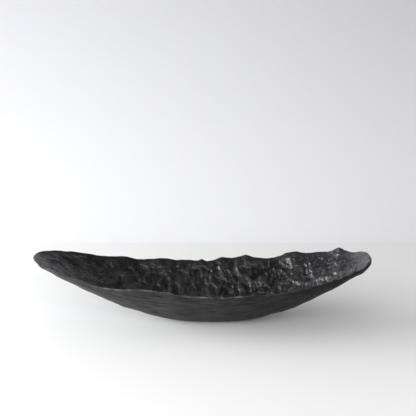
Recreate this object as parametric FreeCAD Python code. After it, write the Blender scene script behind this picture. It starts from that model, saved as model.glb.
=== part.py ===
"""A long boat-shaped table bowl, moulded in one piece as a thin open shell.

The middle surface of the wall is a height over a rounded oval plan.
A flat oval floor in the middle curves up to the rim, and the rim sweeps up to
two blunt tips. The wall lies half a thickness to each side of that surface,
and its edge is a half round lip. The rim rises and falls in hand-made waves.

Frame: millimetres, +Z up, +X along the bowl, +Y away from the front side.
The origin is on the table under the middle of the bowl's box.
"""

import FreeCAD, Part
import math
import os

# Driving dimensions, in mm unless the name says otherwise
HALF_LENGTH = 268.3  # middle of the wall at the tips
HALF_WIDTH = 97.4
OUTLINE_POWER = 2.55  # 2 is an ellipse, more is blunter
WIDTH_SKEW = 0.12  # how much wider the +X half is than the -X half
BELLY_SHIFT = 15.0  # how far the floor lies towards +X
RIM_HEIGHT_MIDDLE = 63.2
RIM_HEIGHT_TIP = 97.4
TIP_TILT = 1.0  # the -X tip stands higher by this, and the +X tip lower
FLOOR_SHARE = 0.2  # the flat floor's share of the plan
SIDE_POWER = 1.38  # how the sides curve up from the floor
TIP_POWER = 1.45
TIP_REACH = 3  # how closely the tip's curve keeps to the tips
WALL_AT_FLOOR = 5.6
WALL_AT_RIM = 3.6
THINNING_POWER = 3  # how late up the wall it gets thin

# Waves of the rim: place along X, height, half length of the wave
FRONT_WAVES = [
    (-236, 2.0, 14),
    (-155, -1.4, 22),
    (-79, 5.4, 36),
    (14, -1.6, 34),
    (110, -1.8, 34),
    (204, 1.4, 12),
    (238, 3.2, 18),
]
BACK_WAVES = [
    (-220, 1.4, 26),
    (-165, -1.6, 20),
    (-106, -2.0, 18),
    (-62, 1.8, 14),
    (0, -3.0, 20),
    (34, 4.2, 13),
    (70, 3.8, 16),
    (112, -2.6, 20),
    (156, 4.8, 16),
    (225, 2.6, 12),
    (250, -2.4, 14),
]
WAVE_DEPTH_POWER = 5  # the waves fade from the rim down the wall
WAVE_CHANGEOVER = 3  # how sharply the front's waves give way to the back's at the tips

# How finely the surface is sampled
POINTS_ROUND = 200
RING_SHARES = [0.2, 0.225, 0.26, 0.31, 0.38, 0.48, 0.6, 0.73, 0.85, 0.94, 1.0]
LIP_STEPS = 4
SMALL_STEP = 1e-4


def plan_direction(turn):
    """The point of the unit plan outline at this share of a turn, as (along, across)."""
    even = math.sqrt(HALF_LENGTH / HALF_WIDTH)  # spaces the points evenly round the rim
    angle = math.atan2(even * math.sin(turn), math.cos(turn))
    c = math.cos(angle)
    s = math.sin(angle)
    radius = (abs(c) ** OUTLINE_POWER + abs(s) ** OUTLINE_POWER) ** (-1 / OUTLINE_POWER)
    return radius * c, radius * s


def rim_wave(x, y):
    """Height that the rim's waves add at this place."""
    back_share = 0.5 * (1 + math.tanh(WAVE_CHANGEOVER * y / HALF_WIDTH))
    front = sum(h * math.exp(-(((x - at) / half) ** 2)) for at, h, half in FRONT_WAVES)
    back = sum(h * math.exp(-(((x - at) / half) ** 2)) for at, h, half in BACK_WAVES)
    return back_share * back + (1 - back_share) * front


def middle_point(share, turn):
    """A point of the wall's middle surface, share of the way from the centre to the rim."""
    along, across = plan_direction(turn)
    x = HALF_LENGTH * share * along + BELLY_SHIFT * (1 - share**2)
    y = HALF_WIDTH * share * across * (1 + WIDTH_SKEW * share * along)
    rim = RIM_HEIGHT_MIDDLE + (RIM_HEIGHT_TIP - RIM_HEIGHT_MIDDLE) * along**2
    rim -= TIP_TILT * along
    rim += rim_wave(x, y) * share**WAVE_DEPTH_POWER
    climb = max(0.0, (share - FLOOR_SHARE) / (1 - FLOOR_SHARE))
    tip_share = abs(along) ** TIP_REACH
    power = SIDE_POWER * (1 - tip_share) + TIP_POWER * tip_share
    return FreeCAD.Vector(x, y, wall_thickness(FLOOR_SHARE) / 2 + rim * climb**power)


def wall_directions(share, turn):
    """The wall's inward normal, and the direction up the wall across the rim."""
    below = middle_point(share - SMALL_STEP, turn)
    above = middle_point(share + SMALL_STEP, turn)
    before = middle_point(share, turn - SMALL_STEP)
    after = middle_point(share, turn + SMALL_STEP)
    normal = (above - below).cross(after - before).normalize()
    return normal, (after - before).cross(normal).normalize()


def wall_thickness(share):
    """Thickness of the wall, share of the way from the centre to the rim."""
    return WALL_AT_FLOOR + (WALL_AT_RIM - WALL_AT_FLOOR) * share**THINNING_POWER


def ring_wire(share, lip_angle):
    """A closed curve round the bowl. The lip angle is 0 outside, 180 inside."""
    half = wall_thickness(share) / 2
    across_wall = -half * math.cos(math.radians(lip_angle))
    up_wall = half * math.sin(math.radians(lip_angle))
    points = []
    for i in range(POINTS_ROUND):
        turn = 2 * math.pi * i / POINTS_ROUND
        if share <= FLOOR_SHARE:
            normal, up = FreeCAD.Vector(0, 0, 1), FreeCAD.Vector(0, 0, 0)
        else:
            normal, up = wall_directions(share, turn)
        points.append(middle_point(share, turn) + normal * across_wall + up * up_wall)
    curve = Part.BSplineCurve()
    curve.interpolate(Points=points, PeriodicFlag=True)
    return Part.Wire([curve.toShape()])


def skin(rings):
    """The faces of a surface through these rings."""
    return Part.makeLoft(rings, False, False).Faces


def bowl():
    """The shell: outer skin, lip, inner skin, and the flat floor above and below."""
    outer = [ring_wire(share, 0) for share in RING_SHARES]
    inner = [ring_wire(share, 180) for share in RING_SHARES]
    lip = [ring_wire(1.0, 180 * i / LIP_STEPS) for i in range(LIP_STEPS + 1)]
    base = Part.Face(outer[0])
    floor = Part.Face(inner[0])
    shell = Part.makeShell(skin(outer) + skin(lip) + skin(inner) + [base, floor])
    shell.sewShape()
    solid = Part.makeSolid(Part.Shell(shell.Faces))
    if solid.Volume < 0:
        solid.reverse()
    return solid


os.makedirs("parts", exist_ok=True)
shape = bowl()
shape.exportStep("parts/bowl.step")
box = shape.BoundBox
print("valid", shape.isValid(), "closed", shape.Shells[0].isClosed(), "volume", round(shape.Volume))
print("X", round(box.XMin, 2), round(box.XMax, 2), "Y", round(box.YMin, 2), round(box.YMax, 2))
print("Z", round(box.ZMin, 2), round(box.ZMax, 2))
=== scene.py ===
import math

import bpy
import numpy as np
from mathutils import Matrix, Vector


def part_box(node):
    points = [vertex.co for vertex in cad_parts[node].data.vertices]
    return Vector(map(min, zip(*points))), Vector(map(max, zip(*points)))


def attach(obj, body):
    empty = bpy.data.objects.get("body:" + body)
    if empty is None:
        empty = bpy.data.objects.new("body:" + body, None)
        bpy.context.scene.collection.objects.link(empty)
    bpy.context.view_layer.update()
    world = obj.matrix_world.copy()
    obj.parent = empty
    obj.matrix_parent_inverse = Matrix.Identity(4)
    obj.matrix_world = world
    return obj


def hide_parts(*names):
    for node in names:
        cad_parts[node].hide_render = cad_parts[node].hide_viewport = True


# A long boat-shaped bowl in black lacquered papier-mache, on a white table beside a window.
# Metres, +X along the bowl, +Y towards the back, +Z up.

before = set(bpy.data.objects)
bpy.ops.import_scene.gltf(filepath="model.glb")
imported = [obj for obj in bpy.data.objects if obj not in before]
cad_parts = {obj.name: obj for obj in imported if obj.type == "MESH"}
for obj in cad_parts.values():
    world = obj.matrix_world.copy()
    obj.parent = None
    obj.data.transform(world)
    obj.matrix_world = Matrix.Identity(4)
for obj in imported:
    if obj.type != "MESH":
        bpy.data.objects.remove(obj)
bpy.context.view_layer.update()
bowlLow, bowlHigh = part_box("bowl")
tableHeight = bowlLow.z
mm = 0.001
print("frame loaded")

# the bare shell
shell = {
    "halfLength": (bowlHigh.x - bowlLow.x) / 2 - 1.8 * mm,  # to the middle of the wall at the tips
    "halfWidth": 97.4 * mm,
    "outlinePower": 2.55,  # 2 is an ellipse, more is blunter
    "widthSkew": 0.12,  # how much wider the +X half is
    "bellyShift": 15 * mm,  # how far the floor lies towards +X
    "rimHeightMiddle": 63.2 * mm,
    "rimHeightTip": 97.4 * mm,
    "tipTilt": 1 * mm,  # the -X tip is higher by this, and the +X tip lower
    "floorShare": 0.2,  # the flat floor's share of the plan
    "sidePower": 1.38,  # how the sides curve up from the floor
    "tipPower": 1.45,
    "tipReach": 3,  # how closely the tips' own curve keeps to the tips
    "wallAtFloor": 5.6 * mm,
    "wallAtRim": 3.6 * mm,
    "thinningPower": 3,
    "thinnest": 1.4 * mm,  # the wall left over under the deepest dent
    "insideDepth": 0.7,  # share of the rest of the wall that the inside's dents may take
    "edgeThinning": 0.32,  # the very edge is thinner by this share
    "edgeStart": 0.93,  # share of the plan where that begins
    "dentSoftness": 0.35 * mm,
    "slopeStep": 1e-4,  # step for slopes along both parameters
    "columns": 400,  # grid steps from tip to tip
    "insideRows": 178,  # grid steps from the front rim to the back rim
    "outsideRows": 60,
    "lipSteps": 5,
    "hullLineSpread": 1.3,  # the girth over the width, so that streaks keep their size outside
    "tipCrowding": 6,  # columns stand closer near the tips, less so with a higher power
    "rimCrowding": 0.12,  # rows stand closer near the rims
}

# rises and dips of the rim: place along X, height, half length, all in millimetres
rim = {
    "front": [(-236, 2.0, 14), (-155, -1.4, 22), (-79, 5.4, 36), (14, -1.6, 34), (110, -1.8, 34),
              (204, 1.4, 12), (238, 3.2, 18)],
    "back": [(-220, 1.4, 26), (-165, -1.6, 20), (-106, -2.0, 18), (-62, 1.8, 14), (0, -3.0, 20),
             (34, 4.2, 13), (70, 3.8, 16), (112, -2.6, 20), (156, 4.8, 16), (225, 2.6, 12),
             (250, -2.4, 14)],
    # finer ones, close to the edge only
    "fineFront": [(-262, 1.6, 10), (-205, 0.8, 12), (-52, 1.0, 9), (40, -0.8, 12), (176, 1.0, 14),
                  (266, 4.2, 11)],
    "fineBack": [(-262, 2.0, 10), (-236, 1.2, 8), (-130, 0.9, 10), (-45, -1.2, 12), (-1, 4.2, 5),
                 (22, -0.8, 8), (75, 2.0, 7), (117, -1.0, 10), (142, 1.8, 7), (172, -1.2, 8),
                 (213, -1.4, 8), (229, 2.8, 7), (250, -0.4, 9), (266, 2.2, 10)],
    "depthPower": 5,  # the waves fade from the rim down the wall
    "fineDepthPower": 10,
    "changeover": 3,  # how sharply the front's waves give way to the back's at the tips
    "lift": 1.3 * mm,
    "tipStretch": (1.5 * mm, -0.4 * mm),  # how far the -X and the +X tip reach out
    "tipSharpness": 14,
    "roughHeight": 0.8 * mm,
    "roughSize": (16 * mm, 50 * mm),
    "roughShift": 3,  # slides the pattern across the bowl, in steps of its own size
    "lean": 1.6 * mm,  # both skins lean in and out together near the rim
    "leanSize": (30 * mm, 60 * mm),
    "leanShift": 7,
    "leanPower": 6,
}


# a whole number for each pattern; another number gives another pattern of the same kind
seeds = {
    "bendAlong": 5, "bendAround": 9, "folds": 21, "lumps": 43, "dents": 57, "smallDents": 59,
    "wrinkles": 67, "patches": 81, "outsideStreaks": 103, "outsideLumps": 127, "outsideKnocks": 139,
    "rimLean": 151, "rimRough": 171,
}


def latticeShare(ix, iy, seed):
    # a fixed pseudo-random number, 0 to 1, for each lattice point, by integer hashing
    h = (ix * 374761393 + iy * 668265263 + seed * 974634777) & 0xFFFFFFFF
    h = ((h ^ (h >> 13)) * 1274126177) & 0xFFFFFFFF
    return ((h ^ (h >> 16)) & 0xFFFF) / 65536.0


def gradientNoise(x, y, seed):
    # each lattice corner holds a slope, and the four slopes are blended smoothly; about -1 to 1
    x0, y0 = np.floor(x).astype(np.int64), np.floor(y).astype(np.int64)
    fx, fy = x - x0, y - y0
    ux = fx**3 * (fx * (fx * 6 - 15) + 10)
    uy = fy**3 * (fy * (fy * 6 - 15) + 10)
    corners = []
    for dx in (0, 1):
        for dy in (0, 1):
            angle = 2 * np.pi * latticeShare(x0 + dx, y0 + dy, seed)
            corners.append(np.cos(angle) * (fx - dx) + np.sin(angle) * (fy - dy))
    low = corners[0] * (1 - ux) + corners[2] * ux
    high = corners[1] * (1 - ux) + corners[3] * ux
    return 1.5 * (low * (1 - uy) + high * uy)


def layeredNoise(x, y, seed, layers=3, gain=0.5):
    # the same noise at one size, half of it, a quarter and so on, added up
    total, norm = 0, 0.0
    for k in range(layers):
        total = total + gain**k * gradientNoise(x * 2**k, y * 2**k, seed + 17 * k)
        norm += gain**k
    return total / norm


def foldNoise(x, y, seed, layers=3, gain=0.55, sharpness=1.6, growth=1.9):
    # one minus the size of the noise: sharp crests where it crosses zero, round hollows between;
    # each layer is finer than the last by the growth
    total, norm = 0, 0.0
    for k in range(layers):
        finer = growth**k
        crest = 1 - sharpness * np.abs(gradientNoise(x * finer, y * finer, seed + 31 * k))
        total = total + gain**k * crest
        norm += gain**k
    return total / norm


def pressedNoise(x, y, seed, tilt=0.5):
    # one scattered point for each lattice cell, and round it a dish, the squared distance, set at
    # a tilt of its own; the lowest dish counts, so round dents meet in sharp, straight creases
    x0, y0 = np.floor(x).astype(np.int64), np.floor(y).astype(np.int64)
    lowest = np.full(x.shape, np.inf)
    for dx in (-1, 0, 1):
        for dy in (-1, 0, 1):
            cx, cy = x0 + dx, y0 + dy
            ax = x - cx - latticeShare(cx, cy, seed)
            ay = y - cy - latticeShare(cx, cy, seed + 7)
            angle = 2 * np.pi * latticeShare(cx, cy, seed + 13)
            dish = ax**2 + ay**2 + tilt * (np.cos(angle) * ax + np.sin(angle) * ay)
            lowest = np.minimum(lowest, dish)
    return lowest


def smoothStep(low, high, value):
    # 0 below low, 1 above high, and between them t squared times three minus two t
    t = np.clip((value - low) / (high - low), 0, 1)
    return t * t * (3 - 2 * t)


def wavesAlong(waves, x):
    # the sum of bell-shaped waves along X
    return sum(h * mm * np.exp(-(((x - at * mm) / (half * mm)) ** 2)) for at, h, half in waves)


def rimWaves(front, back, x, y):
    # the front's waves at the front, the back's at the back, blended across the tips
    share = 0.5 * (1 + np.tanh(rim["changeover"] * y / shell["halfWidth"]))
    return share * wavesAlong(rim[back], x) + (1 - share) * wavesAlong(rim[front], x)


def shareOf(along, across):
    # how far a point of the plan is from the centre towards the outline, 0 to 1: both
    # coordinates to the outline's power, added, and the same root of the sum
    n = shell["outlinePower"]
    return np.maximum((np.abs(along) ** n + np.abs(across) ** n) ** (1 / n), 1e-9)


def wallThickness(share):
    # from the floor's to the rim's with a power of the share
    late = np.maximum(share, shell["floorShare"]) ** shell["thinningPower"]
    return shell["wallAtFloor"] + (shell["wallAtRim"] - shell["wallAtFloor"]) * late


def wallMiddle(along, across):
    # height over a rounded oval plan: a flat floor, then a climb to the rim as a power of the
    # share, under a rim that rises towards the tips with the square of the direction's X
    share = shareOf(along, across)
    turn = along / share
    x = shell["halfLength"] * along + shell["bellyShift"] * (1 - share**2)
    y = shell["halfWidth"] * across * (1 + shell["widthSkew"] * along)
    top = shell["rimHeightMiddle"] + (shell["rimHeightTip"] - shell["rimHeightMiddle"]) * turn**2
    top = top - shell["tipTilt"] * turn
    top = top + rimWaves("front", "back", x, y) * share ** rim["depthPower"]
    climb = np.clip((share - shell["floorShare"]) / (1 - shell["floorShare"]), 0, None)
    tip = np.abs(turn) ** shell["tipReach"]
    power = shell["sidePower"] * (1 - tip) + shell["tipPower"] * tip
    z = wallThickness(shell["floorShare"]) / 2 + top * climb**power
    return np.stack([x, y, z], -1)


def keptAbove(value, lowest, softness):
    # the value where it is well above the lowest, levelling out smoothly as it comes down to it
    return lowest + softness * np.logaddexp(0, (value - lowest) / softness)


def unit(vectors):
    # each vector over its own length
    return vectors / np.linalg.norm(vectors, axis=-1, keepdims=True)


def wallFrame(along, across):
    # the middle point, the normal into the bowl, and the direction up the wall across the rim,
    # from small steps along both parameters
    step = shell["slopeStep"]
    overX = wallMiddle(along + step, across) - wallMiddle(along - step, across)
    overY = wallMiddle(along, across + step) - wallMiddle(along, across - step)
    shareX = (shareOf(along + step, across) - shareOf(along - step, across))[..., None]
    shareY = (shareOf(along, across + step) - shareOf(along, across - step))[..., None]
    normal = unit(np.cross(overX, overY))
    roundRim = overY * shareX - overX * shareY
    return wallMiddle(along, across), normal, unit(np.cross(roundRim, normal))


def planGrid(rows):
    # columns from tip to tip, closer at the tips; rows from the front rim to the back rim,
    # a little closer at the rims. Every column spans the oval's full width there.
    fine = np.linspace(0, 1, 10 * shell["columns"] + 1)
    density = 1 - (1 - np.sin(np.pi * fine)) ** shell["tipCrowding"]
    travelled = np.concatenate([[0], np.cumsum((density[1:] + density[:-1]) / 2)])
    columns = np.linspace(0, 1, shell["columns"] + 1)
    along = -1 + 2 * np.interp(columns, fine, travelled / travelled[-1])
    v = np.linspace(-1, 1, rows + 1)
    v = v * (1 + shell["rimCrowding"] - shell["rimCrowding"] * v**2)
    n = shell["outlinePower"]
    halfSpan = np.clip(1 - np.abs(along) ** n, 0, None) ** (1 / n)
    return np.repeat(along[:, None], rows + 1, 1), halfSpan[:, None] * v[None, :], v


def distanceAround(middle):
    # distance along each column from the keel, minus at the front and plus at the back
    steps = np.linalg.norm(np.diff(middle, axis=1), axis=-1)
    run = np.concatenate([np.zeros((len(middle), 1)), np.cumsum(steps, 1)], 1)
    half = middle.shape[1] // 2
    return run - run[:, half : half + 1]


# the hand-pressed inside. Strengths are given at places along X and blended between them.
inside = {
    "places": (-262 * mm, -232 * mm, -150 * mm, -70 * mm, -20 * mm, 30 * mm, 90 * mm, 215 * mm, 240 * mm,
               256 * mm),
    "foldStrength": (0.1, 0.25, 0.5, 0.85, 1.0, 1.0, 0.7, 0.7, 0.5, 0.1),
    "pressStrength": (0.3, 0.7, 0.85, 0.8, 0.8, 0.9, 1.1, 1.6, 1.5, 0.3),
    "foldSize": (19 * mm, 50 * mm),  # folds run from the rim to the floor
    "foldHeight": 4.6 * mm,
    "lumpSize": (38 * mm, 42 * mm),
    "lumpHeight": 3.0 * mm,
    "dentSize": (15 * mm, 19 * mm),
    "dentHeight": 4.4 * mm,
    "smallDentSize": (7.0 * mm, 9.5 * mm),
    "smallDentHeight": 2.8 * mm,
    "wrinkleSize": (6.5 * mm, 10 * mm),
    "wrinkleHeight": 2.6 * mm,
    "bend": 7 * mm,  # how far the patterns are pulled sideways so that nothing runs straight
    "bendSize": 27 * mm,
    "slant": 0.16,  # the folds spread like a fan towards the tips
    "slantSize": 70 * mm,
    "foldLevel": 0.45,  # the levels of the patterns that stay where the plain wall is
    "dentLevel": 0.25,
    "wrinkleLevel": 0.5,
    "patchSize": (50 * mm, 45 * mm),  # folds and wrinkles are stronger in some patches
    "patchRange": (0.75, 0.5),
    "swell": 1.1 * mm,  # the pressed parts are thicker by this
    "rimCalm": 0.8,  # the relief is lower by this share at the very rim
    "calmFrom": (0.92, 0.99),  # shares of the plan between which it gets calm
}


def insideRelief(middle, around, share):
    # folds from the rim to the floor, dents of two sizes that meet in creases, and small
    # wrinkles, all on bent coordinates; each is scaled by its strength at this place along X
    x, s = middle[..., 0], around
    size = inside["bendSize"]
    fan = inside["slant"] * s * np.sin(x / inside["slantSize"])
    bentX = x + inside["bend"] * layeredNoise(x / size, s / size, seeds["bendAlong"]) + fan
    bentS = s + inside["bend"] * layeredNoise(x / size, s / size, seeds["bendAround"])

    def on(key):
        return bentX / inside[key][0], bentS / inside[key][1]

    patchX, patchS = x / inside["patchSize"][0], s / inside["patchSize"][1]
    least, more = inside["patchRange"]
    patchy = least + more * layeredNoise(patchX, patchS, seeds["patches"], layers=2)
    folds = foldNoise(*on("foldSize"), seeds["folds"]) - inside["foldLevel"]
    lumps = layeredNoise(*on("lumpSize"), seeds["lumps"], layers=2)
    dents = pressedNoise(*on("dentSize"), seeds["dents"]) - inside["dentLevel"]
    smallDents = pressedNoise(*on("smallDentSize"), seeds["smallDents"]) - inside["dentLevel"]
    wrinkles = foldNoise(*on("wrinkleSize"), seeds["wrinkles"], layers=2) - inside["wrinkleLevel"]
    pressed = inside["swell"] + inside["dentHeight"] * dents
    fine = inside["smallDentHeight"] * smallDents + inside["wrinkleHeight"] * wrinkles
    foldShare = np.interp(x, inside["places"], inside["foldStrength"])
    pressShare = np.interp(x, inside["places"], inside["pressStrength"])
    relief = foldShare * inside["foldHeight"] * folds * patchy
    relief = relief + (foldShare + pressShare) / 2 * inside["lumpHeight"] * lumps
    relief = relief + pressShare * (pressed + fine * patchy)
    relief = relief * (1 - inside["rimCalm"] * smoothStep(*inside["calmFrom"], share))
    return relief - pressedCreases(bentX - fan, middle[..., 1] + bentS - s)


# longer creases pressed in by hand: from (x, y) to (x, y), depth, half width, in millimetres
creases = [
    ((130, 90), (112, 84), 4.2, 3.0),
    ((112, 84), (88, 72), 4.6, 3.0),
    ((129, 88), (150, 60), 1.6, 2.4),
    ((82, 50), (104, 60), 2.2, 2.6),
]


def pressedCreases(x, y):
    # each crease is a bell-shaped groove over the distance in plan from its straight run
    total = 0
    for (ax, ay), (bx, by), depth, half in creases:
        runX, runY = (bx - ax) * mm, (by - ay) * mm
        offX, offY = x - ax * mm, y - ay * mm
        t = np.clip((offX * runX + offY * runY) / (runX**2 + runY**2), 0, 1)
        away = np.hypot(offX - t * runX, offY - t * runY)
        total = total + depth * mm * np.exp(-((away / (half * mm)) ** 2))
    return total


# the smoother outside
outside = {
    "streakSize": (90 * mm, 6 * mm),
    "streakHeight": 0.9 * mm,
    "lumpSize": (46 * mm, 30 * mm),
    "lumpHeight": 2.0 * mm,
    "knockSize": (17 * mm, 13 * mm),
    "knockHeight": 0.7 * mm,
    "tipBulge": 3.2 * mm,  # the wall is thicker outside at the +X tip
    "tipBulgeFrom": (222 * mm, 256 * mm),
    "baseFade": (4 * mm, 20 * mm),  # no relief below this height, all of it above that one
}


def outsideRelief(middle, around, share):
    # long low streaks that follow the hull, over shallow hand-smoothed lumps; none on the base
    x, s = middle[..., 0], around

    def on(key):
        return x / outside[key][0], s / outside[key][1]

    streaks = layeredNoise(*on("streakSize"), seeds["outsideStreaks"], gain=0.6)
    lumps = layeredNoise(*on("lumpSize"), seeds["outsideLumps"], layers=2)
    knocks = layeredNoise(*on("knockSize"), seeds["outsideKnocks"], layers=2)
    relief = outside["streakHeight"] * streaks + outside["lumpHeight"] * lumps
    relief = relief + outside["knockHeight"] * knocks
    relief = relief + outside["tipBulge"] * smoothStep(*outside["tipBulgeFrom"], x)
    return relief * smoothStep(*outside["baseFade"], middle[..., 2])


def rimLean(middle, share):
    # noise along the rim that moves both skins in or out together, from a power of the share
    x, y = middle[..., 0] / rim["leanSize"][0], middle[..., 1] / rim["leanSize"][1] + rim["leanShift"]
    return rim["lean"] * layeredNoise(x, y, seeds["rimLean"]) * share ** rim["leanPower"]


def rimRise(middle, share):
    # the finer waves and a little noise, which lift or lower the edge
    x, y = middle[..., 0], middle[..., 1]
    fine = rimWaves("fineFront", "fineBack", x, y)
    overX, overY = x / rim["roughSize"][0], y / rim["roughSize"][1] + rim["roughShift"]
    rough = rim["roughHeight"] * layeredNoise(overX, overY, seeds["rimRough"], gain=0.6)
    return (rim["lift"] + fine + rough) * share ** rim["fineDepthPower"]


def tipPull(along, share):
    # the tips' points pulled outwards, by a high power of the direction's X
    turn = along / share
    stretch = np.where(turn < 0, -rim["tipStretch"][0], rim["tipStretch"][1])
    return stretch * np.abs(turn) ** rim["tipSharpness"] * share ** rim["fineDepthPower"]


def makeSkin(rows, relief, side):
    # one skin: the middle surface, plus or minus half the wall and the skin's relief, along the
    # normal; side is 1 for the inside and -1 for the outside
    along, across, v = planGrid(rows)
    middle, normal, up = wallFrame(along, across)
    share = shareOf(along, across)
    around = distanceAround(middle)
    leaning = middle + normal * rimLean(middle, share)[..., None]
    leaning[..., 2] += rimRise(middle, share)
    leaning[..., 0] += tipPull(along, share)
    thinner = 1 - shell["edgeThinning"] * smoothStep(shell["edgeStart"], 1.0, share)
    wall = wallThickness(share) * thinner
    part = shell["insideDepth"] if side > 0 else 1 - shell["insideDepth"]
    deepest = -part * (wall - shell["thinnest"])
    height = keptAbove(relief(middle, around, share), deepest, shell["dentSoftness"])
    half = wall / 2 + height
    points = leaning + normal * (side * half)[..., None]
    if side < 0:
        points[..., 2] = np.maximum(points[..., 2], tableHeight)
    hullLine = np.broadcast_to(v, share.shape) * shell["halfWidth"] * shell["hullLineSpread"]
    return {"points": points, "middle": leaning, "normal": normal, "up": up, "half": half,
            "share": share, "hullLine": hullLine, "height": height / mm}


def makeLip(inner, outer):
    # half an ellipse from the outer rim over the top to the inner rim, all the way round
    halfIn, halfOut = rimLoop(inner["half"]), rimLoop(outer["half"])
    centre, radius = (halfIn - halfOut) / 2, (halfIn + halfOut) / 2
    angle = np.linspace(0, np.pi, shell["lipSteps"] + 1)[1:-1]
    acrossWall = centre[:, None] - radius[:, None] * np.cos(angle)
    upWall = radius[:, None] * np.sin(angle)
    lip = rimLoop(inner["middle"])[:, None] + rimLoop(inner["normal"])[:, None] * acrossWall[..., None]
    return lip + rimLoop(inner["up"])[:, None] * upWall[..., None]


# where the edge is pale along X: partly rubbed, partly a painted highlight of the window light on the
# front rim and near the -X tip
rubbingAndHighlight = {
    "least": 0.04,
    "frontFrom": (-190 * mm, -140 * mm),
    "frontTo": (50 * mm, 100 * mm),
    "tipAt": -243 * mm,
    "tipHalf": 14 * mm,
    "lessAtBack": 0.75,
    "backFrom": (-10 * mm, 10 * mm),  # across the bowl
}


def wearAndHighlight(edgeMiddle):
    # how pale the edge is, partly from rubbing and partly a painted highlight: most along the middle of
    # the front and in a short
    # -X tip stretch near the tip, little elsewhere, and less at the back
    x, y = edgeMiddle[..., 0], edgeMiddle[..., 1]
    front = smoothStep(*rubbingAndHighlight["frontFrom"], x) * (1 - smoothStep(*rubbingAndHighlight["frontTo"], x))
    tip = np.exp(-(((x - rubbingAndHighlight["tipAt"]) / rubbingAndHighlight["tipHalf"]) ** 2))
    wornAndLit = rubbingAndHighlight["least"] + (1 - rubbingAndHighlight["least"]) * (front + tip)
    return wornAndLit * (1 - rubbingAndHighlight["lessAtBack"] * smoothStep(*rubbingAndHighlight["backFrom"], y))


def rimLoop(grid):
    # front rim from tip to tip, then the back rim the other way, each tip once
    return np.concatenate([grid[:, 0], grid[-2:0:-1, -1]])


def gridFaces(index):
    # quads of a grid of vertex numbers, with triangles where two corners are the same
    a, b = index[:-1, :-1].ravel(), index[1:, :-1].ravel()
    c, d = index[1:, 1:].ravel(), index[:-1, 1:].ravel()
    quads = np.stack([a, b, c, d], 1)
    closedStart, closedEnd = a == d, b == c
    faces = quads[~(closedStart | closedEnd)].tolist()
    faces += quads[closedStart][:, :3].tolist()
    faces += quads[closedEnd][:, [0, 1, 3]].tolist()
    return faces


def numberSkin(shape, first):
    # vertex numbers of a skin whose first and last columns are one vertex each
    columns, rows = shape
    index = np.empty(shape, int)
    index[1:-1] = first + np.arange((columns - 2) * rows).reshape(columns - 2, rows)
    index[0] = first + (columns - 2) * rows
    index[-1] = index[0] + 1
    return index


def skinValues(grid):
    # a skin's values in the order of its vertex numbers
    return np.concatenate([grid[1:-1].reshape(-1, *grid.shape[2:]), grid[:1, 0], grid[-1:, 0]])


def makeBowl():
    # both skins, joined all the way round by the lip, as one closed mesh
    inner = makeSkin(shell["insideRows"], insideRelief, 1)
    outer = makeSkin(shell["outsideRows"], outsideRelief, -1)
    lip = makeLip(inner, outer)
    print("skins and lip worked out")

    innerIndex = numberSkin(inner["share"].shape, 0)
    outerIndex = numberSkin(outer["share"].shape, innerIndex[-1, 0] + 1)
    lipIndex = outerIndex[-1, 0] + 1 + np.arange(lip.shape[0] * lip.shape[1]).reshape(lip.shape[:2])
    lipIndex = np.concatenate([rimLoop(outerIndex)[:, None], lipIndex, rimLoop(innerIndex)[:, None]], 1)
    lipIndex = np.concatenate([lipIndex, lipIndex[:1]])

    points = np.concatenate([skinValues(inner["points"]), skinValues(outer["points"]), lip.reshape(-1, 3)])
    faces = gridFaces(innerIndex) + gridFaces(outerIndex[:, ::-1]) + gridFaces(lipIndex)
    mesh = bpy.data.meshes.new("bowlShell")
    mesh.from_pydata(points.tolist(), [], faces)
    mesh.polygons.foreach_set("use_smooth", np.ones(len(mesh.polygons), bool))

    def perVertex(name, innerValue, outerValue, lipValue):
        lipValue = np.broadcast_to(lipValue, lip.shape[:2]).ravel()
        values = np.concatenate([skinValues(innerValue), skinValues(outerValue), lipValue])
        layer = mesh.attributes.new(name, "FLOAT", "POINT")
        layer.data.foreach_set("value", values.astype(np.float32))

    # what the lacquer reads: which skin, the line along the hull, the pale lip top (partly wear, partly a
    # painted highlight), relief
    lipBlend = np.linspace(0, 1, shell["lipSteps"] + 1)[1:-1]
    perVertex("insideShare", np.ones_like(inner["share"]), np.zeros_like(outer["share"]), lipBlend)
    perVertex("hullLine", inner["hullLine"], outer["hullLine"], rimLoop(inner["hullLine"])[:, None])
    lipTop = 4 * lipBlend * (1 - lipBlend) * wearAndHighlight(rimLoop(inner["middle"]))[:, None]
    perVertex("edge", 0 * inner["share"], 0 * outer["share"], lipTop)
    perVertex("relief", inner["height"], outer["height"], 0.0)
    mesh.update()
    bowl = bpy.data.objects.new("bowl_shell", mesh)
    bpy.context.scene.collection.objects.link(bowl)
    return bowl


def newMaterial(name):
    material = bpy.data.materials.new(name)
    material.use_nodes = True
    return material, material.node_tree, material.node_tree.nodes["Principled BSDF"]


def setOrLink(tree, socket, value):
    # a number or a colour is set on the socket, anything else is linked to it
    if isinstance(value, tuple):
        socket.default_value = (*value, 1)
    elif isinstance(value, (int, float)):
        socket.default_value = value
    else:
        tree.links.new(value, socket)


def attributeValue(tree, name):
    # a value that the mesh holds at each vertex
    node = tree.nodes.new("ShaderNodeAttribute")
    node.attribute_name = name
    return node.outputs["Fac"]


def maths(tree, operation, first, second, clamp=False):
    node = tree.nodes.new("ShaderNodeMath")
    node.operation, node.use_clamp = operation, clamp
    setOrLink(tree, node.inputs[0], first)
    setOrLink(tree, node.inputs[1], second)
    return node.outputs[0]


def noiseOn(tree, vector, scale, detail, roughness=0.5, distortion=0.0):
    node = tree.nodes.new("ShaderNodeTexNoise")
    node.inputs["Scale"].default_value = scale
    node.inputs["Detail"].default_value = detail
    node.inputs["Roughness"].default_value = roughness
    node.inputs["Distortion"].default_value = distortion
    tree.links.new(vector, node.inputs["Vector"])
    return node.outputs["Fac"]


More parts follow.
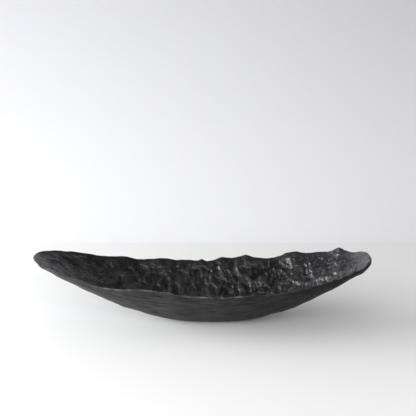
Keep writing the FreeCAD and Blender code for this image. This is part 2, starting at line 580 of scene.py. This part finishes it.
def spread(tree, value, low, high, outLow, outHigh):
    # stretches the range low to high onto outLow to outHigh
    node = tree.nodes.new("ShaderNodeMapRange")
    node.inputs["From Min"].default_value = low
    node.inputs["From Max"].default_value = high
    node.inputs["To Min"].default_value = outLow
    node.inputs["To Max"].default_value = outHigh
    tree.links.new(value, node.inputs["Value"])
    return node.outputs["Result"]


def mix(tree, kind, share, first, second):
    # blends two values or two colours; kind is FLOAT or RGBA
    node = tree.nodes.new("ShaderNodeMix")
    node.data_type = kind
    ending = "Float" if kind == "FLOAT" else "Color"
    sockets = {s.identifier: s for s in node.inputs}
    setOrLink(tree, sockets["Factor_Float"], share)
    setOrLink(tree, sockets["A_" + ending], first)
    setOrLink(tree, sockets["B_" + ending], second)
    return {s.identifier: s for s in node.outputs}["Result_" + ending]


lacquer = {
    "insideDark": (0.005, 0.005, 0.0055),
    "insideLight": (0.022, 0.022, 0.0255),
    "outsideDark": (0.004, 0.004, 0.004),
    "outsideLight": (0.024, 0.024, 0.0235),
    "wornAndHighlit": (0.12, 0.12, 0.118),  # the pale edge, partly rubbed lacquer and partly a painted highlight
    # noises: features per metre, detail, roughness of the detail, distortion
    "blotches": (26, 4, 0.6, 0.4),
    "grain": (230, 4, 0.6, 0.5),
    "speckle": (520, 3, 0.6, 0.0),
    "streaks": (280, 5, 0.65, 0.0),  # outside, along the hull
    "scratches": (300, 4, 0.65, 0.6),  # on the tips inside
    "paleEdgePatches": (55, 3, 0.6, 0.0),
    "streakStretch": 0.09,  # streaks are longer than wide by one over this
    "scratchStretch": 0.13,
    # ranges: a noise, the relief in millimetres or X in metres from and to, and what each end gives
    "tips": (0.195, 0.245, 0, 1),  # how far from the middle the tips begin
    "blotchTone": (0.35, 0.65, 0.0, 0.25),
    # painted shade: darker in the hollows of the relief, paler on its crests
    "reliefShadeTone": (-1.0, 3.0, -0.1, 0.35),
    "scratchTone": (0.42, 0.6, 0.0, 0.9),
    # painted light: the inside paler towards +X, where the window light falls
    "farPaintedLightTone": (0.05, 0.25, 0.0, 0.6),
    "streakTone": (0.4, 0.62, 0.0, 1.0),
    "outsideBlotchTone": (0.35, 0.65, -0.25, 0.4),
    # painted shade: the outside darker towards +X, turned away from the window
    "outsideFarPaintedShade": (-0.1, 0.2, 0.0, -0.6),
    # patches of the pale edge, which is partly wear and partly a painted highlight
    "paleEdgeTone": (0.45, 0.6, 0.0, 0.95),
    "insideRoughness": (0.3, 0.7, 0.1, 0.22),
    "farRoughness": (-0.03, 0.12, 0.0, 0.12),  # added towards +X
    "outsideRoughness": (0.3, 0.7, 0.42, 0.6),
    "insideShine": (-1.5, 1.2, 0.14, 0.52),  # specular level in the hollows, and on the crests
    "tipShine": (0.42, 0.6, 0.06, 0.9),  # between the scratches, and on them
    "tipShineShare": (-0.25, 0.25, 0.7, 1.45),
    "outsideShine": (0.42, 0.6, 0.2, 0.54),
    "farShineShare": (0.0, 0.22, 1.0, 0.22),
    # how much each noise counts in the bump
    "speckleBump": 0.35,
    "scratchBump": 0.6,
    "tipGrainBump": 0.5,
    "streakBump": 1.1,
    "outsideSpeckleBump": 0.25,
    "bumpDistance": 1.6 * mm,
    "bumpStrength": 0.7,
}


def blackLacquer():
    # near-black, with tone, gloss and bump from noises in the object's place and along the hull; the tone
    # also holds painted shade and painted light
    material, tree, surface = newMaterial("blackLacquer")
    place = tree.nodes.new("ShaderNodeTexCoord").outputs["Object"]
    skin = attributeValue(tree, "insideShare")
    edge = attributeValue(tree, "edge")
    relief = attributeValue(tree, "relief")
    split = tree.nodes.new("ShaderNodeSeparateXYZ")
    tree.links.new(place, split.inputs[0])
    x, y = split.outputs["X"], split.outputs["Y"]

    def ranged(value, key):
        return spread(tree, value, *lacquer[key])

    def weighted(value, key):
        return maths(tree, "MULTIPLY", value, lacquer[key])

    def stretched(stretchKey, across, depth):
        # coordinates squeezed along X, so that what is drawn on them runs lengthwise
        vector = tree.nodes.new("ShaderNodeCombineXYZ")
        setOrLink(tree, vector.inputs["X"], weighted(x, stretchKey))
        setOrLink(tree, vector.inputs["Y"], across)
        setOrLink(tree, vector.inputs["Z"], depth)
        return vector.outputs[0]

    alongHull = stretched("streakStretch", attributeValue(tree, "hullLine"), skin)
    lengthwise = stretched("scratchStretch", y, 0.0)
    blotches = noiseOn(tree, place, *lacquer["blotches"])
    grain = noiseOn(tree, place, *lacquer["grain"])
    speckle = noiseOn(tree, place, *lacquer["speckle"])
    streaks = noiseOn(tree, alongHull, *lacquer["streaks"])
    scratches = noiseOn(tree, lengthwise, *lacquer["scratches"])
    tips = ranged(maths(tree, "ABSOLUTE", x, 0), "tips")

    # colour: paler on the high places inside and darker in the hollows, as painted shade; paler on the
    # tips' scratches and along the streaks outside
    reliefShadeTone = ranged(relief, "reliefShadeTone")
    insideTone = maths(tree, "ADD", ranged(blotches, "blotchTone"), reliefShadeTone, clamp=True)
    tipTone = maths(tree, "MULTIPLY", tips, ranged(scratches, "scratchTone"))
    insideTone = maths(tree, "ADD", insideTone, tipTone)
    # painted light: the inside paler towards +X, where the window light falls
    insideTone = maths(tree, "ADD", insideTone, ranged(x, "farPaintedLightTone"))
    outsideTone = maths(tree, "ADD", ranged(streaks, "streakTone"), ranged(blotches, "outsideBlotchTone"))
    # painted shade: the outside darker towards +X, turned away from the window
    outsideTone = maths(tree, "ADD", outsideTone, ranged(x, "outsideFarPaintedShade"), clamp=True)
    insideColour = mix(tree, "RGBA", insideTone, lacquer["insideDark"], lacquer["insideLight"])
    outsideColour = mix(tree, "RGBA", outsideTone, lacquer["outsideDark"], lacquer["outsideLight"])
    body = mix(tree, "RGBA", skin, outsideColour, insideColour)
    # the pale edge: partly rubbed lacquer, partly a painted highlight of the window light along the front
    # rim and near the -X tip
    patches = ranged(noiseOn(tree, place, *lacquer["paleEdgePatches"]), "paleEdgeTone")
    wornAndLit = maths(tree, "MULTIPLY", edge, patches, clamp=True)
    setOrLink(tree, surface.inputs["Base Color"], mix(tree, "RGBA", wornAndLit, body, lacquer["wornAndHighlit"]))

    # roughness: rougher towards +X inside, and rougher still outside
    insideRough = maths(tree, "ADD", ranged(blotches, "insideRoughness"), ranged(x, "farRoughness"))
    outsideRough = ranged(streaks, "outsideRoughness")
    setOrLink(tree, surface.inputs["Roughness"], mix(tree, "FLOAT", skin, outsideRough, insideRough))

    # shine: more on crests, scratches and streaks
    tipShine = maths(tree, "MULTIPLY", ranged(scratches, "tipShine"), ranged(x, "tipShineShare"))
    insideShine = mix(tree, "FLOAT", tips, ranged(relief, "insideShine"), tipShine)
    outsideShine = maths(tree, "MULTIPLY", ranged(streaks, "outsideShine"), ranged(x, "farShineShare"))
    shine = mix(tree, "FLOAT", skin, outsideShine, insideShine)
    setOrLink(tree, surface.inputs["Specular IOR Level"], shine)

    # bump: only what is finer than the mesh
    insideBump = maths(tree, "ADD", grain, weighted(speckle, "speckleBump"))
    tipBump = maths(tree, "ADD", weighted(scratches, "scratchBump"), weighted(grain, "tipGrainBump"))
    insideBump = mix(tree, "FLOAT", tips, insideBump, tipBump)
    outsideSpeckle = weighted(speckle, "outsideSpeckleBump")
    outsideBump = maths(tree, "ADD", weighted(streaks, "streakBump"), outsideSpeckle)
    bump = tree.nodes.new("ShaderNodeBump")
    bump.inputs["Strength"].default_value = lacquer["bumpStrength"]
    bump.inputs["Distance"].default_value = lacquer["bumpDistance"]
    setOrLink(tree, bump.inputs["Height"], mix(tree, "FLOAT", skin, outsideBump, insideBump))
    setOrLink(tree, surface.inputs["Normal"], bump.outputs["Normal"])
    return material


room = {
    "tableBehind": 445 * mm,  # how far the table reaches behind the bowl's middle
    "tableFront": 2.2,
    "wide": 3.0,  # half the width of table and wall
    "tableGap": 0.3 * mm,  # the table lies this far under the base, so the two never share a face
    "wallBehind": 2.1,
    "wallTop": 2.4,
    "floorBelow": 0.74,
    # plain coats: colour, roughness and specular level
    "tableCoat": ((0.9, 0.9, 0.9), 0.55, 0.35),
    "floorCoat": ((0.7, 0.7, 0.7), 0.8, 0.3),
    "wallCoat": ((0.95, 0.95, 0.98), 0.9, 0.2),
    "wallHigh": (0.66, 0.66, 0.69),  # painted shade: the backdrop gets darker upwards
    "wallFade": (-0.45, 0.4),  # heights between which it does
}


def flatSheet(name, corners, material):
    # one flat face of the room
    mesh = bpy.data.meshes.new(name)
    mesh.from_pydata(corners, [], [(0, 1, 2, 3)])
    mesh.materials.append(material)
    sheet = bpy.data.objects.new(name, mesh)
    bpy.context.scene.collection.objects.link(sheet)


def plainMatt(name, coat):
    material, _, surface = newMaterial(name)
    colour, roughness, specularLevel = coat
    surface.inputs["Base Color"].default_value = (*colour, 1)
    surface.inputs["Roughness"].default_value = roughness
    surface.inputs["Specular IOR Level"].default_value = specularLevel
    return material


def paleWall():
    # the coat's colour at the foot, blended with height into the darker one, as painted shade
    material = plainMatt("paleWall", room["wallCoat"])
    tree = material.node_tree
    split = tree.nodes.new("ShaderNodeSeparateXYZ")
    tree.links.new(tree.nodes.new("ShaderNodeTexCoord").outputs["Object"], split.inputs[0])
    height = spread(tree, split.outputs["Z"], *room["wallFade"], 0, 1)
    colour = mix(tree, "RGBA", height, room["wallCoat"][0], room["wallHigh"])
    setOrLink(tree, tree.nodes["Principled BSDF"].inputs["Base Color"], colour)
    return material


def levelCorners(near, far, z):
    wide = room["wide"]
    return [(-wide, near, z), (wide, near, z), (wide, far, z), (-wide, far, z)]


def makeStage():
    near, far, back = -room["tableFront"], room["tableBehind"], room["wallBehind"]
    wide, top = room["wide"], room["wallTop"]
    tableTop = tableHeight - room["tableGap"]
    floor = tableHeight - room["floorBelow"]
    wallCorners = [(-wide, back, floor), (wide, back, floor), (wide, back, top), (-wide, back, top)]
    flatSheet("table", levelCorners(near, far, tableTop), plainMatt("whiteTable", room["tableCoat"]))
    flatSheet("floor", levelCorners(near, back, floor), plainMatt("paleFloor", room["floorCoat"]))
    flatSheet("wall", wallCorners, paleWall())


# light: name, then place, width and height, watts, the place it faces, and its colour
lights = {
    "windowLow": ((-1.8, 0.1, 0.38), (1.2, 0.5), 45, (0, 0, 0.05), (0.97, 0.985, 1.0)),
    "windowHigh": ((-1.65, 0.3, 0.8), (1.2, 0.7), 5, (0, 0, 0.05), (0.97, 0.985, 1.0)),
    "windowFront": ((-1.55, -0.9, 0.3), (1.6, 0.5), 10, (0, 0, 0.05), (0.97, 0.985, 1.0)),
    "front": ((-0.3, -1.65, 0.9), (2.2, 0.9), 19, (0, 0, 0.05), (1.0, 1.0, 1.0)),
    "frontRight": ((1.5, -1.3, 0.5), (1.4, 0.6), 8, (0, 0, 0.05), (1.0, 1.0, 1.0)),
    "wall": ((-1.9, 1.25, 0.3), (0.6, 1.2), 9, (-0.4, 2.1, 0.2), (0.97, 0.975, 1.0)),
}
roomLight = {
    "colour": (1.0, 0.99, 0.97),
    "left": 0.64,
    "right": 0.14,  # the room is dark on the right
    "turnsAt": 0.9,  # the direction's X, minus and plus, where those two are reached
}


def pointAt(item, target):
    # turns a lamp so that its face looks at the target, with its width level
    direction = np.array(target) - np.array(item.location)
    flat = math.hypot(direction[0], direction[1])
    item.rotation_euler = (math.atan2(flat, -direction[2]), 0, math.atan2(-direction[0], direction[1]))


def makeLights():
    for name, (place, size, watts, target, colour) in lights.items():
        data = bpy.data.lights.new(name, "AREA")
        data.shape = "RECTANGLE"
        data.size, data.size_y = size
        data.energy = watts
        data.color = colour
        lamp = bpy.data.objects.new(name, data)
        lamp.location = place
        bpy.context.scene.collection.objects.link(lamp)
        pointAt(lamp, target)
    world = bpy.data.worlds.new("softRoom")
    world.use_nodes = True
    background = world.node_tree.nodes["Background"]
    background.inputs["Color"].default_value = (*roomLight["colour"], 1)
    tree = world.node_tree
    split = tree.nodes.new("ShaderNodeSeparateXYZ")
    tree.links.new(tree.nodes.new("ShaderNodeTexCoord").outputs["Generated"], split.inputs[0])
    edge = roomLight["turnsAt"]
    strength = spread(tree, split.outputs["X"], -edge, edge, roomLight["left"], roomLight["right"])
    tree.links.new(strength, background.inputs["Strength"])
    bpy.context.scene.world = world


view = {
    "lens": 95.2,  # millimetres, as is the sensor
    "sensor": 36,
    "place": (9.5 * mm, -1.698, 0.614),
    "down": 0.248,  # radians below level
}


def makeCamera():
    data = bpy.data.cameras.new("camera")
    data.lens, data.sensor_width = view["lens"], view["sensor"]
    camera = bpy.data.objects.new("camera", data)
    camera.location = view["place"]
    camera.rotation_euler = (math.pi / 2 - view["down"], 0, 0)
    bpy.context.scene.collection.objects.link(camera)
    bpy.context.scene.camera = camera


makeCamera()
print("camera placed")

bowl = makeBowl()
bowl.data.materials.append(blackLacquer())
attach(bowl, "root")
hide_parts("bowl")
print("bowl made:", len(bowl.data.vertices), "vertices")

makeStage()
makeLights()
bpy.context.scene.view_settings.view_transform = "Standard"
print("table, wall and lights made")
